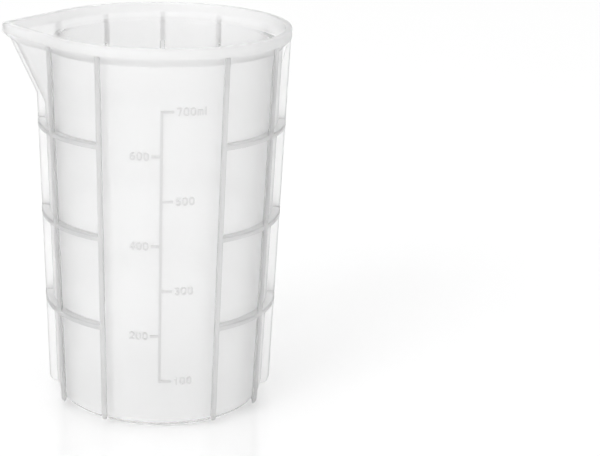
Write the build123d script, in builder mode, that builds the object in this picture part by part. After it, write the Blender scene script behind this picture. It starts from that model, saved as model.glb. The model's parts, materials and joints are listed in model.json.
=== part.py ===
from build123d import *
import math
import os

os.makedirs("parts", exist_ok=True)

# A graduated mixing cup of translucent silicone rubber: a thin tapered wall on a
# rounded floor, a stepped-out rim band that runs out into a V-shaped spout, upright
# ribs and hoops that stiffen the wall, and a raised scale on the front.
# The frame: Z up from the floor the cup stands on, the cup's axis at X = Y = 0,
# the scale faces -Y and the spout points to -X. Millimetres.

# Overall sizes
cup_height = 152.0
rim_radius = 50.0
spout_projection = 12.0  # the lip's tip stands out past the rim by this

# Wall and floor: the wall leans outwards and grows a little thicker upwards
wall_foot_radius = 42.0
wall_foot_thickness = 1.7
wall_top_thickness = 2.8
floor_thickness = 1.2
foot_rounding = 5.6
base_height = 7.0

# Rim: an upright band stepped out from the wall, with a flare under it
collar_overhang = 3.2
rim_thickness = 2.6
band_height = 3.8
flare_height = 3.6
rim_edge_radius = 0.6

# Spout: the channel's nose line runs down and in from under the lip to the wall
spout_depth = 31.6
spout_setback = 5.0
crease_radius = 0.4
seam_bite = 0.6
keel_depth = 1.3

# Ribs and hoops: plates as deep as the rim's overhang, thinner towards the foot
rib_thickness = 2.0
rib_foot_depth = 3.4
rib_foot_clearance = 1.8
rib_foot_rounding = 3.4
inner_rib_share = 0.507
outer_rib_share = 0.911
hoop_height = 2.1
hoop_first = 40.6
hoop_spout_gap = 5.5
hoop_count = 3

# Scale: raised line, marks and numbers
mark_relief = 0.5
line_width = 1.0
mark_width = 0.9
right_mark_length = 4.0
left_mark_length = 3.2
number_gap = 0.9
digit_height = 3.1
stroke_share = 0.16
advance_share = 0.82
scale_headroom = 23.8  # from the top mark's middle up to the rim
mark_count = 7

# Cuts run past what they cut by this much
overrun = 5.0

# Places worked out from the sizes above
spout_reach = rim_radius + spout_projection
wall_top_radius = rim_radius - collar_overhang
band_z = cup_height - band_height
flare_z = band_z - flare_height
spout_root_z = cup_height - spout_depth
top_hoop_z = spout_root_z - hoop_spout_gap - hoop_height
hoop_pitch = (top_hoop_z - hoop_first) / (hoop_count - 1)
top_mark_z = cup_height - scale_headroom


def between(low_value, high_value, height):
    """A value that changes evenly from the floor to the rim."""
    return low_value + (high_value - low_value) * height / cup_height


def wall_radius(height):
    return between(wall_foot_radius, wall_top_radius, height)


def wall_thickness(height):
    return between(wall_foot_thickness, wall_top_thickness, height)


def hollow_radius(height):
    return wall_radius(height) - wall_thickness(height)


def rib_radius(height):
    return between(wall_foot_radius + rib_foot_depth, rim_radius, height)


def hollow_slope():
    """How much wider the inside gets for each step of height."""
    return (hollow_radius(cup_height) - hollow_radius(0)) / cup_height


def held_volume(height):
    """What the tapered inside holds from its floor up to a height."""
    cubes = hollow_radius(height) ** 3 - hollow_radius(floor_thickness) ** 3
    return math.pi / 3 * cubes / hollow_slope()


def mark_height(filled):
    """Height of the liquid when the cup holds this part of its top mark's volume."""
    floor_cube = hollow_radius(floor_thickness) ** 3
    top_cube = hollow_radius(top_mark_z) ** 3
    surface_radius = (floor_cube + filled * (top_cube - floor_cube)) ** (1 / 3)
    return (surface_radius - hollow_radius(0)) / hollow_slope()


# The rim's outline seen from above: a circle with two tangent sides to a round nose
def side_points(circle, nose, nose_distance):
    """Ends of the straight side: on the circle, and on the nose."""
    lean = math.acos((circle - nose) / nose_distance)
    along, across = math.cos(lean), math.sin(lean)
    on_circle = (-circle * along, circle * across)
    on_nose = (-nose_distance - nose * along, nose * across)
    return on_circle, on_nose


def flipped(point):
    return (point[0], -point[1])


def rim_outline(circle, nose, nose_distance):
    """Circle that runs out along two tangent sides to a round nose."""
    on_circle, on_nose = side_points(circle, nose, nose_distance)
    with BuildSketch() as outline:
        with BuildLine():
            ThreePointArc(flipped(on_circle), (circle, 0), on_circle)
            Line(on_circle, on_nose)
            ThreePointArc(on_nose, (-nose_distance - nose, 0), flipped(on_nose))
            Line(flipped(on_nose), flipped(on_circle))
        make_face()
    return outline.sketch


def channel_outline(circle, nose, nose_distance):
    """The nose and its two sides alone, closed straight across behind them."""
    on_circle, on_nose = side_points(circle, nose, nose_distance)
    with BuildSketch() as outline:
        with BuildLine():
            Line(on_circle, on_nose)
            ThreePointArc(on_nose, (-nose_distance - nose, 0), flipped(on_nose))
            Line(flipped(on_nose), flipped(on_circle))
            Line(flipped(on_circle), on_circle)
        make_face()
    return outline.sketch


# Nose of the spout's channel at a height, and the heights that shape its sides
nose_top = spout_reach - spout_setback
nose_slope = (nose_top - wall_radius(spout_root_z)) / (flare_z - spout_root_z)
wall_slope = (wall_top_radius - wall_foot_radius) / cup_height
root_margin = seam_bite / 2 / (nose_slope - wall_slope)
channel_end_z = spout_root_z - root_margin
channel_shares = (0.0, 0.35, 0.7, 1.0)


def nose_reach(height):
    return nose_top - nose_slope * (flare_z - height)


def channel_outline_sizes(height, inset):
    """Circle, nose and nose distance of the channel's outline at a height."""
    nose = crease_radius + wall_thickness(height)
    return wall_radius(height) - seam_bite - inset, nose - inset, nose_reach(height) - nose


# Outside of the round body, floor to rim, that ribs and spout are cut to
with BuildPart() as body_outside:
    with BuildSketch(Plane.XZ):
        with BuildLine():
            Polyline(
                (0, 0),
                (wall_foot_radius, 0),
                (wall_radius(flare_z), flare_z),
                (rim_radius, band_z),
                (rim_radius, cup_height),
                (0, cup_height),
                (0, 0),
            )
        make_face()
        foot_corner = vertices().group_by(Axis.Y)[0].sort_by(Axis.X)[-1]
        fillet(foot_corner, foot_rounding)
    revolve(axis=Axis.Z)

# Floor with its rounded foot, a shallow dish that the wall stands on
with BuildPart() as cup_base:
    with BuildSketch(Plane.XZ):
        with BuildLine():
            Polyline(
                (0, 0),
                (wall_foot_radius, 0),
                (wall_radius(base_height), base_height),
                (hollow_radius(base_height), base_height),
                (hollow_radius(floor_thickness), floor_thickness),
                (0, floor_thickness),
                (0, 0),
            )
        make_face()
        outer_corner = vertices().group_by(Axis.Y)[0].sort_by(Axis.X)[-1]
        inner_corner = vertices().group_by(Axis.Y)[1].sort_by(Axis.X)[-1]
        fillet(outer_corner, foot_rounding)
        fillet(inner_corner, foot_rounding - wall_foot_thickness)
    revolve(axis=Axis.Z)
cup_base.part.label = "cup_base"

# Channel of the spout, outside and inside, each through a few level outlines
with BuildPart() as channel_outside:
    for share in channel_shares:
        level = flare_z - share * (flare_z - channel_end_z)
        with BuildSketch(Plane.XY.offset(level)):
            add(channel_outline(*channel_outline_sizes(level, 0)))
    loft(ruled=True)

with BuildPart() as channel_inside:
    for share in channel_shares:
        level = flare_z - share * (flare_z - channel_end_z)
        with BuildSketch(Plane.XY.offset(level)):
            add(channel_outline(*channel_outline_sizes(level, wall_thickness(level))))
    loft(ruled=True)

# Tapered wall from the base to the flare, open where the channel leaves it
with BuildPart() as cup_wall:
    with BuildSketch(Plane.XZ):
        with BuildLine():
            Polyline(
                (hollow_radius(base_height), base_height),
                (wall_radius(base_height), base_height),
                (wall_radius(flare_z), flare_z),
                (hollow_radius(flare_z), flare_z),
                (hollow_radius(base_height), base_height),
            )
        make_face()
    revolve(axis=Axis.Z)
    add(channel_inside.part, mode=Mode.SUBTRACT)
cup_wall.part.label = "cup_wall"

# Rim band and flare in one, round the mouth and out to the spout's nose
lip_nose = crease_radius + rim_thickness
lip_distance = spout_reach - lip_nose
flare_nose = crease_radius + wall_thickness(flare_z)
flare_distance = nose_top - flare_nose

with BuildPart() as rim_outside:
    with BuildSketch(Plane.XY.offset(band_z)):
        add(rim_outline(rim_radius, lip_nose, lip_distance))
    extrude(amount=band_height)
    with BuildSketch(Plane.XY.offset(flare_z)):
        add(rim_outline(wall_radius(flare_z), flare_nose, flare_distance))
    with BuildSketch(Plane.XY.offset(band_z)):
        add(rim_outline(rim_radius, lip_nose, lip_distance))
    loft(ruled=True)

with BuildPart() as rim_band:
    add(rim_outside.part)
    with BuildSketch(Plane.XY.offset(band_z)):
        add(rim_outline(rim_radius - rim_thickness, crease_radius, lip_distance))
    extrude(amount=band_height, mode=Mode.SUBTRACT)
    with BuildSketch(Plane.XY.offset(flare_z)):
        add(rim_outline(hollow_radius(flare_z), crease_radius, flare_distance))
    with BuildSketch(Plane.XY.offset(band_z)):
        add(rim_outline(rim_radius - rim_thickness, crease_radius, lip_distance))
    loft(ruled=True, mode=Mode.SUBTRACT)
    fillet(rim_band.edges().group_by(Axis.Z)[-1], rim_edge_radius)

lip_cut = Plane.YZ.offset(-outer_rib_share * wall_top_radius)

with BuildPart() as rim_collar:
    add(rim_band.part)
    split(bisect_by=lip_cut, keep=Keep.TOP)
rim_collar.part.label = "rim_collar"

with BuildPart() as spout_lip:
    add(rim_band.part)
    split(bisect_by=lip_cut, keep=Keep.BOTTOM)
spout_lip.part.label = "spout_lip"

# The channel itself: two sides that meet in a rounded nose, outside the wall
with BuildPart() as pouring_spout:
    add(channel_outside.part)
    add(channel_inside.part, mode=Mode.SUBTRACT)
    add(body_outside.part, mode=Mode.SUBTRACT)
pouring_spout.part.label = "pouring_spout"

# Narrow ridge along the nose, from under the lip down to the wall
keel_end_z = spout_root_z - (keel_depth + seam_bite) / (nose_slope - wall_slope)

with BuildPart() as spout_keel:
    with BuildSketch(Plane.XZ):
        with BuildLine():
            Polyline(
                (-nose_reach(band_z) - keel_depth, band_z),
                (-nose_reach(keel_end_z) - keel_depth, keel_end_z),
                (-nose_reach(keel_end_z) + keel_depth, keel_end_z),
                (-nose_reach(band_z) + keel_depth, band_z),
                (-nose_reach(band_z) - keel_depth, band_z),
            )
        make_face()
    extrude(amount=rib_thickness / 2, both=True)
    add(body_outside.part, mode=Mode.SUBTRACT)
    add(channel_outside.part, mode=Mode.SUBTRACT)
    add(rim_outside.part, mode=Mode.SUBTRACT)
spout_keel.part.label = "spout_keel"

# What the ribs may fill: a taper with a rounded lower corner, less the cup itself
with BuildPart() as rib_room:
    with BuildSketch(Plane.XZ):
        with BuildLine():
            Polyline(
                (0, rib_foot_clearance),
                (rib_radius(rib_foot_clearance), rib_foot_clearance),
                (rib_radius(band_z), band_z),
                (0, band_z),
                (0, rib_foot_clearance),
            )
        make_face()
        lower_corner = vertices().group_by(Axis.Y)[0].sort_by(Axis.X)[-1]
        fillet(lower_corner, rib_foot_rounding)
    revolve(axis=Axis.Z)
    add(body_outside.part, mode=Mode.SUBTRACT)
    add(channel_outside.part, mode=Mode.SUBTRACT)
    add(rim_outside.part, mode=Mode.SUBTRACT)
    add(spout_keel.part, mode=Mode.SUBTRACT)

# Upright ribs. All but two are plates parallel to Y that lean with the wall: a place
# is a share of the wall's radius, and a side is -1 in front and 1 behind.
plate_reach = rim_radius + overrun
plate_rib_shares = {
    "rib_front_outer_left": (-outer_rib_share, -1),
    "rib_front_inner_left": (-inner_rib_share, -1),
    "rib_front_inner_right": (inner_rib_share, -1),
    "rib_front_outer_right": (outer_rib_share, -1),
    "rib_back_outer_left": (-outer_rib_share, 1),
    "rib_back_inner_left": (-inner_rib_share, 1),
    "rib_back_centre": (0.0, 1),
    "rib_back_inner_right": (inner_rib_share, 1),
    "rib_back_outer_right": (outer_rib_share, 1),
}
ribs = {}
plates = []
for rib_name, (place_share, side) in plate_rib_shares.items():
    foot_x = place_share * wall_foot_radius
    top_x = place_share * wall_top_radius
    with BuildPart() as plate:
        with BuildSketch(Plane.XZ):
            with BuildLine():
                Polyline(
                    (foot_x - rib_thickness / 2, 0),
                    (foot_x + rib_thickness / 2, 0),
                    (top_x + rib_thickness / 2, cup_height),
                    (top_x - rib_thickness / 2, cup_height),
                    (foot_x - rib_thickness / 2, 0),
                )
            make_face()
        extrude(amount=-side * plate_reach)
    with BuildPart() as rib:
        add(plate.part)
        add(rib_room.part, mode=Mode.INTERSECT)
    plates.append(plate.part)
    ribs[rib_name] = rib.part

# The last two ribs lie in the plane of the spout
for rib_name, side in {"rib_under_spout": -1, "rib_opposite_spout": 1}.items():
    with BuildPart() as plate:
        with BuildSketch(Plane.YZ):
            with Locations((0, cup_height / 2)):
                Rectangle(rib_thickness, cup_height)
        extrude(amount=side * plate_reach)
    with BuildPart() as rib:
        add(plate.part)
        add(rib_room.part, mode=Mode.INTERSECT)
    plates.append(plate.part)
    ribs[rib_name] = rib.part

for rib_name, rib_part in ribs.items():
    rib_part.label = rib_name

# Hoops: bars between the ribs, as deep as they are, open across the scale
with BuildPart() as scale_panel:
    with BuildSketch(Plane.XZ):
        with BuildLine():
            Polyline(
                (-inner_rib_share * wall_foot_radius, 0),
                (inner_rib_share * wall_foot_radius, 0),
                (inner_rib_share * wall_top_radius, cup_height),
                (-inner_rib_share * wall_top_radius, cup_height),
                (-inner_rib_share * wall_foot_radius, 0),
            )
        make_face()
    extrude(amount=plate_reach)

hoops = {}
for row in range(hoop_count):
    low_z = hoop_first + row * hoop_pitch
    high_z = low_z + hoop_height
    with BuildPart() as hoop:
        with BuildSketch(Plane.XZ):
            with BuildLine():
                Polyline(
                    (wall_radius(low_z), low_z),
                    (rib_radius(low_z), low_z),
                    (rib_radius(high_z), high_z),
                    (wall_radius(high_z), high_z),
                    (wall_radius(low_z), low_z),
                )
            make_face()
        revolve(axis=Axis.Z)
        add(scale_panel.part, mode=Mode.SUBTRACT)
        for plate_part in plates:
            add(plate_part, mode=Mode.SUBTRACT)
    hoop_name = f"hoop_{row + 1}"
    hoop.part.label = hoop_name
    hoops[hoop_name] = hoop.part

# Raised scale: whatever is drawn on it stands on the wall as a thin skin
mark_heights = [mark_height((step + 1) / mark_count) for step in range(mark_count)]

with BuildPart() as relief_skin:
    with BuildSketch(Plane.XZ):
        with BuildLine():
            Polyline(
                (wall_radius(base_height), base_height),
                (wall_radius(base_height) + mark_relief, base_height),
                (wall_radius(flare_z) + mark_relief, flare_z),
                (wall_radius(flare_z), flare_z),
                (wall_radius(base_height), base_height),
            )
        make_face()
    revolve(axis=Axis.Z)

with BuildPart() as scale_line:
    with BuildSketch(Plane.XZ):
        line_low = mark_heights[0] - mark_width / 2
        line_high = mark_heights[-1] + mark_width / 2
        with Locations((0, (line_low + line_high) / 2)):
            Rectangle(line_width, line_high - line_low)
    extrude(amount=plate_reach)
    add(relief_skin.part, mode=Mode.INTERSECT)
scale_line.part.label = "scale_line"

# Marks run to the right at 100, 300, 500 and 700 and to the left between them
marks = {}
number_places = []
for step, height in enumerate(mark_heights):
    to_right = step % 2 == 0
    length = right_mark_length if to_right else left_mark_length
    direction = 1 if to_right else -1
    with BuildPart() as mark:
        with BuildSketch(Plane.XZ):
            with Locations((direction * (line_width + length) / 2, height)):
                Rectangle(length, mark_width)
        extrude(amount=plate_reach)
        add(relief_skin.part, mode=Mode.INTERSECT)
    mark_name = f"mark_{100 * (step + 1)}"
    mark.part.label = mark_name
    marks[mark_name] = mark.part
    number_places.append((direction, direction * (line_width / 2 + length + number_gap), height))

# Strokes of the numbers, in shares of the digit's height: a run of points, or an arc
# given by its centre, radius, start angle and sweep in degrees
glyph_shares = {
    "0": [
        ("arc", 0.25, 0.25, 0.25, 180, 180),
        ("arc", 0.25, 0.59, 0.25, 0, 180),
        ("run", (0.0, 0.25), (0.0, 0.59)),
        ("run", (0.5, 0.25), (0.5, 0.59)),
    ],
    "1": [("run", (0.1, 0.66), (0.3, 0.84), (0.3, 0.0))],
    "2": [
        ("arc", 0.25, 0.59, 0.25, -40, 200),
        ("run", (0.44, 0.43), (0.0, 0.0), (0.5, 0.0)),
    ],
    "3": [
        ("arc", 0.25, 0.64, 0.2, -90, 240),
        ("arc", 0.25, 0.22, 0.22, -150, 240),
    ],
    "4": [
        ("run", (0.38, 0.0), (0.38, 0.84), (0.0, 0.25)),
        ("run", (0.0, 0.25), (0.5, 0.25)),
    ],
    "5": [
        ("run", (0.45, 0.84), (0.08, 0.84), (0.063, 0.459)),
        ("arc", 0.23, 0.26, 0.26, -140, 270),
    ],
    "6": [
        ("arc", 0.25, 0.25, 0.25, 0, 180),
        ("arc", 0.25, 0.25, 0.25, 180, 180),
        ("run", (0.0, 0.25), (0.0, 0.42)),
        ("arc", 0.42, 0.42, 0.42, 90, 90),
    ],
    "7": [("run", (0.0, 0.84), (0.5, 0.84), (0.18, 0.0))],
    "m": [
        ("run", (0.0, 0.56), (0.0, 0.0)),
        ("arc", 0.14, 0.42, 0.14, 0, 180),
        ("run", (0.28, 0.42), (0.28, 0.0)),
        ("arc", 0.42, 0.42, 0.14, 0, 180),
        ("run", (0.56, 0.42), (0.56, 0.0)),
    ],
    "l": [("run", (0.1, 0.84), (0.1, 0.0))],
}
glyph_width_share = 0.5
glyph_middle_share = 0.42


def glyph_wires(letter, left, base):
    """Centre lines of a letter's strokes, with its lower left corner at a place."""
    wires = []
    for kind, *values in glyph_shares[letter]:
        if kind == "arc":
            x, z, radius, start, sweep = values
            centre = Plane((left + x * digit_height, base + z * digit_height, 0))
            edge = Edge.make_circle(radius * digit_height, centre, start, start + sweep)
            wires.append(Wire([edge]))
        else:
            places = [(left + x * digit_height, base + z * digit_height) for x, z in values]
            wires.append(Wire.make_polygon(places, close=False))
    return wires


numbers = {}
for step, (direction, start_x, height) in enumerate(number_places):
    text = str(100 * (step + 1))
    if step == mark_count - 1:
        text += "ml"
    advance = advance_share * digit_height
    half_stroke = stroke_share * digit_height / 2
    text_width = (len(text) - 1) * advance + glyph_width_share * digit_height
    left = start_x + half_stroke if direction > 0 else start_x - half_stroke - text_width
    base = height - glyph_middle_share * digit_height
    letters = [glyph_wires(letter, left + index * advance, base) for index, letter in enumerate(text)]
    with BuildPart() as number:
        with BuildSketch(Plane.XZ):
            for letter_wires in letters:
                for wire in letter_wires:
                    SlotArc(wire, 2 * half_stroke)
        extrude(amount=plate_reach)
        add(relief_skin.part, mode=Mode.INTERSECT)
    number_name = f"number_{text}"
    number.part.label = number_name
    numbers[number_name] = number.part

# One file for each named piece
pieces = {
    "cup_base": cup_base.part,
    "cup_wall": cup_wall.part,
    "rim_collar": rim_collar.part,
    "spout_lip": spout_lip.part,
    "pouring_spout": pouring_spout.part,
    "spout_keel": spout_keel.part,
    "scale_line": scale_line.part,
    **ribs,
    **hoops,
    **marks,
    **numbers,
}
for piece_name, piece in pieces.items():
    export_step(piece, f"parts/{piece_name}.step")

print("marks at", [round(height, 2) for height in mark_heights])
print("one step of the scale holds", round(held_volume(top_mark_z) / mark_count), "cubic mm")
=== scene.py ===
import ast
import json
import math

import bmesh
import bpy
import numpy as np
from bpy.props import FloatProperty, IntProperty, PointerProperty, StringProperty
from mathutils import Matrix, Vector

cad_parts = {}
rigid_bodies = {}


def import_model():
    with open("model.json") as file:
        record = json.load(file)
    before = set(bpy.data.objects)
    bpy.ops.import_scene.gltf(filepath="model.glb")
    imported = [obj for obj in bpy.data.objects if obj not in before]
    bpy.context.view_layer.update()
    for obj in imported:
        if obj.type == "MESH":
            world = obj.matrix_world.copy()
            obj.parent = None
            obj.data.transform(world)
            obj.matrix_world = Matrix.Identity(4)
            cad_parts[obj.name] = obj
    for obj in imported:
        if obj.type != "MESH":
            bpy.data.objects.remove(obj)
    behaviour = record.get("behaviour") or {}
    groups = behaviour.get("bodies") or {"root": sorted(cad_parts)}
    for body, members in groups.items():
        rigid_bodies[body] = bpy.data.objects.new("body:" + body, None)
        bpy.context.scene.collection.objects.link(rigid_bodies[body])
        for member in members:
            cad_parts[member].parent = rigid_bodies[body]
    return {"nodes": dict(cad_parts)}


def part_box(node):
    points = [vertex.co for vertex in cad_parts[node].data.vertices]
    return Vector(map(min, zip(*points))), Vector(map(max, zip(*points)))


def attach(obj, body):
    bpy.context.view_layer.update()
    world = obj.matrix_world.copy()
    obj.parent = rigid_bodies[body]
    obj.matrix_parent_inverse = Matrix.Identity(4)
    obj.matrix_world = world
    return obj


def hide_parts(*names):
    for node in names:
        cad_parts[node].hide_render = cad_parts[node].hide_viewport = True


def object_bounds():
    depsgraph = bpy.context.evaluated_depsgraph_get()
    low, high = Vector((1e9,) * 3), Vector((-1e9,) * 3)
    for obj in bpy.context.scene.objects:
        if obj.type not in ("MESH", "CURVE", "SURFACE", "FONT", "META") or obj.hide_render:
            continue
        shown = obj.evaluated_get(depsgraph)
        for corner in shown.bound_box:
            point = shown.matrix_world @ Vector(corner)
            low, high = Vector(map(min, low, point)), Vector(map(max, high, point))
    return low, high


# A graduated mixing cup of milky, translucent silicone rubber, standing on a white
# floor. Metres, Z up, the cup's axis at X = Y = 0, the scale faces -Y and the spout
# points to -X. The cup is one moulding, so its features are made one by one and then
# fused into one closed skin, as they are in the mould.

bl_info = {
    "name": "Silicone mixing cup",
    "version": (1, 0, 0),
    "blender": (4, 5, 0),
    "location": "3D View > Sidebar > Mixing cup",
    "description": "Makes a translucent silicone mixing cup with a raised scale",
    "category": "Object",
}

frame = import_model()
cad_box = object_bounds()
MM = 0.001

SHELL_NODES = ["cup_base", "cup_wall", "rim_collar", "spout_lip", "pouring_spout", "spout_keel"]
RIB_NODES = [name for name in frame["nodes"] if name.startswith(("rib_", "hoop_"))]
SCALE_NODES = [name for name in frame["nodes"] if name.startswith(("scale_", "mark_", "number_"))]

# The mesh: how fine it is, and what counts as one point or one smooth surface
MERGE = 0.002 * MM
ROW_STEP = 14 * MM  # between the rows of the plain wall
SPOUT_MARGIN = 2 * MM  # the finer rows of the spout begin this far below its root
COLUMN_GATHER = 0.75  # how strongly the shell's columns draw together at the spout
FOOT_STEPS, INNER_FOOT_STEPS, CORNER_STEPS, RIM_STEPS = 9, 7, 4, 5  # of the section's arcs
BAR_COLUMNS = 32  # round the section of a rib or a hoop
RIB_ROWS, HOOP_ROWS = 22, 112  # along a rib, and along a hoop
KEEL_STEPS = 12  # across the keel's rounded edge
TINY = 0.000001  # keeps a written sum from dividing by nothing
SMALL = 0.01  # does so where a large result would lose its last digits
SHARP = math.radians(21)  # a wider angle between two faces is an edge
WALL_CLOSE = 0.05 * MM  # a point this near the taper lies on the wall
ALIKE = 0.995  # least cosine between the taper's normal and a face of the wall

# How the features run into each other before they are fused
KEEL_RUN_IN = 2.4 * MM  # the keel goes on this far below the spout's root
RELIEF_MIDDLE = 0.25 * MM  # points of the raised scale nearer the wall than this are its foot
RELIEF_SINK = 0.3 * MM  # the foot of the raised scale goes this deep into the wall
LINE_HALF = 0.5 * MM  # half the width of the scale's upright line
MARK_OVERLAP = 0.2 * MM  # the marks go this far into the line

# The moulding's finishes, and where shade is painted on it, noted on its faces
WALL_ZONE, SCALE_ZONE, RIB_ZONE = 0.0, 0.5, 1.0

# The silicone
SILICONE_IOR = 1.41
OUTER_FACE = (0.15, 0.4)  # cosines from the ribs' sides to their outer faces
FLAT_MIDDLE = (0.95, 1.0)  # cosines from an outer face's rounded edges to its flat middle
CLOUD_DETAIL, GRAIN_DETAIL = 3.0, 2.0
ROUGHNESS_SPREAD = 0.06  # how much the clouds change the roughness

# The stage
WHITE = (1, 1, 1, 1)
FLOOR_GAP = 0.2 * MM  # keeps the floor clear of the cup's underside
CARD_FADE = 0.2  # over which the room's darker sides fade in
SENSOR = 36.0  # millimetres
LIGHT_BOUNCES, DIFFUSE_BOUNCES = 48, 16


def highest(node):
    """The greatest X, Y and Z of a CAD node."""
    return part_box(node)[1]


def length(name, description, default):
    """A size in metres that the sidebar shows as a distance."""
    return FloatProperty(
        name=name,
        description=description,
        default=default,
        min=0.0,
        unit="LENGTH",
        subtype="DISTANCE",
        precision=5,
    )


def number(name, description, default, **limits):
    """A plain number."""
    return FloatProperty(name=name, description=description, default=default, **limits)


def colour(name, description, default):
    """A colour as an sRGB hex value, such as F2F3F2."""
    return StringProperty(name=name, description=description, default=default, maxlen=6)


def share(name, description, default):
    """A number from 0 to 1."""
    return number(name, description, default, min=0.0, max=1.0, subtype="FACTOR")


class CupSizes(bpy.types.PropertyGroup):
    """Sizes of the cup's wall, rim and spout."""

    rim_radius: length("Rim radius", "From the axis to the rim's outside", highest("rim_collar").x)
    height: length("Height", "From the floor to the top of the rim", cad_box[1].z)
    spout_reach: length("Spout reach", "From the axis to the tip of the lip", -cad_box[0].x)
    flare_z: length("Flare height", "Height at which the wall turns out to the rim", highest("cup_wall").z)
    flare_radius: length("Flare radius", "Of the wall's outside under the flare", highest("cup_wall").x)
    base_z: length("Base height", "Height of the rounded base", highest("cup_base").z)
    base_radius: length("Base radius", "Of the wall's outside above the base", highest("cup_base").x)
    band_height: length("Band height", "Height of the rim's upright band", 3.8 * MM)
    foot_thickness: length("Foot thickness", "Wall thickness at the floor", 1.7 * MM)
    top_thickness: length("Top thickness", "Wall thickness at the rim", 2.8 * MM)
    floor_thickness: length("Floor thickness", "Thickness of the floor", 1.2 * MM)
    foot_rounding: length("Foot rounding", "Radius round the outside of the base", 5.6 * MM)
    rim_thickness: length("Rim thickness", "Thickness of the rim band", 2.6 * MM)
    rim_edge: length("Rim edge", "Rounding of the rim's two upper edges", 0.6 * MM)
    corner_edge: length("Corner edge", "Rounding where the wall turns to the rim", 1.2 * MM)
    spout_depth: length("Spout depth", "From the rim down to the root of the spout", 31.6 * MM)
    spout_setback: length("Spout setback", "From the lip's tip in to the channel's tip", 5.0 * MM)
    crease_radius: length("Crease radius", "Inside rounding of the spout's nose", 0.4 * MM)
    spout_blend: length("Spout blend", "Rounding between the spout and the wall", 0.6 * MM)
    row_step: length("Row step", "Distance of the mesh rows in the spout", 1.1 * MM)
    columns: IntProperty(name="Columns", description="Mesh columns round the cup", default=320, min=64)


class RibSizes(bpy.types.PropertyGroup):
    """Sizes of the ribs, the hoops and the spout's keel."""

    thickness: length("Rib thickness", "Across an upright rib", 2.0 * MM)
    foot_depth: length("Foot depth", "How far a rib would stand out at the floor", 3.4 * MM)
    foot_z: length("Foot height", "Height of a rib's lower end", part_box("rib_back_centre")[0].z)
    foot_rounding: length("Foot rounding", "Rounding of a rib's lower outer corner", 3.4 * MM)
    edge: length("Edge rounding", "Rounding of the outer edges", 0.5 * MM)
    shy: length("Set back", "Ribs and hoops stay this far inside the rim's radius", 0.1 * MM)
    sink: length("Sink", "How deep ribs and hoops run into the wall before they are fused", 0.5 * MM)
    inner_share: share("Inner ribs", "Place of the inner ribs, as a share of the wall's radius", 0.507)
    outer_share: share("Outer ribs", "Place of the outer ribs, as a share of the wall's radius", 0.911)
    hoop_height: length("Hoop height", "Height of a hoop", 2.1 * MM)
    hoop_first: length("First hoop", "Height of the lowest hoop's underside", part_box("hoop_1")[0].z)
    hoop_pitch: length(
        "Hoop pitch", "From one hoop to the next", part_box("hoop_2")[0].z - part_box("hoop_1")[0].z
    )
    hoop_count: IntProperty(name="Hoops", description="Number of hoops", default=3, min=1)
    keel_depth: length("Keel depth", "How far the keel stands out of the spout's nose", 1.3 * MM)
    keel_thickness: length("Keel thickness", "Across the keel", 1.8 * MM)


class SiliconeLook(bpy.types.PropertyGroup):
    """How the silicone rubber looks."""

    body_colour: colour("Body colour", "Colour of the milky rubber", "FFFFFF")
    cloud_colour: colour("Cloud colour", "Colour of the faint clouds in it", "FCFCFC")
    # The edge colour is painted shade, put into the colour of a rib's outer faces for the darkness seen down
    # its depth
    painted_edge_shade_colour: colour("Edge colour", "Colour of a rib looked at edge on, down its whole depth", "E4E4E4")
    middle_share: share("Rib middle", "How much of the edge colour the flat middle of a rib loses", 0.3)
    depth_colour: colour("Depth colour", "What thick rubber turns light to", "DBDBDB")
    density: number("Density", "How fast depth takes light away, per metre", 65.0, min=0.0)
    cloud_size: length("Cloud size", "Size of the faint clouds", 18 * MM)
    grain_size: length("Grain size", "Size of the blasted skin's grain", 0.35 * MM)
    grain_depth: length("Grain depth", "Depth of the blasted skin's grain", 0.004 * MM)
    wall_roughness: share("Wall roughness", "How matt the blasted outside of the wall is", 0.36)
    inner_roughness: share("Inner roughness", "How matt the polished inside is", 0.15)
    rib_roughness: share("Rib roughness", "How matt the ribs and hoops are", 0.4)
    wall_clearness: share("Wall clearness", "Share of the light that the outside of the wall lets in", 0.7)
    inner_clearness: share("Inner clearness", "Share of the light that the inside lets in", 1.0)
    rib_clearness: share("Rib clearness", "Share of the light that ribs and hoops let in", 0.8)
    # The scale colour is painted shade: a grey that stands in for the dimming of light in the thicker rubber
    # of the raised scale
    scale_painted_shade_colour: colour("Scale colour", "Colour of the raised scale, where the rubber is thicker", "EAEAEA")
    scale_roughness: share("Scale roughness", "How matt the raised scale is", 0.3)
    scale_clearness: share("Scale clearness", "Share of the light that the raised scale lets in", 0.85)


class StudioSizes(bpy.types.PropertyGroup):
    """The floor, the lamps and the camera."""

    floor_colour: colour("Floor colour", "Colour of the white floor", "F9F9F9")
    floor_size: length("Floor size", "Side of the square floor", 6.0)
    side_dark: share("Dark sides", "How much darker the room is at the cup's left and right", 0.3)
    side_edge: share("Side edge", "How far to the side the darker parts begin, as a sine", 0.8)
    gloss_roughness: share("Floor gloss", "How blurred the floor's reflection is", 0.05)
    gloss_index: number("Floor index", "Refractive index of the floor's gloss", 2.0)
    lamp_size: length("Lamp size", "Across the round key lamp", 1.2)
    lamp_side: length("Lamp side", "How far left of the cup the lamp stands", 1.1)
    lamp_front: length("Lamp front", "How far in front of the cup the lamp stands", 1.2)
    lamp_height: length("Lamp height", "Lamp above the floor", 1.2)
    lamp_power: number("Lamp power", "In watts", 10.5, min=0.0, subtype="POWER")
    camera_distance: length("Camera distance", "From the cup's axis to the camera", 589.1 * MM)
    camera_height: length("Camera height", "Camera above the floor", 260.9 * MM)
    camera_tilt: number("Camera tilt", "How far it looks down", math.radians(18.043), subtype="ANGLE")
    camera_roll: number("Camera roll", "How far it leans", math.radians(0.574), subtype="ANGLE")
    focal_length: number("Focal length", "In millimetres, on a 36 mm sensor", 92.23)
    frame_shift: number("Frame shift", "From the cup to the frame's middle, in frame widths", 0.2321)


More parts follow.
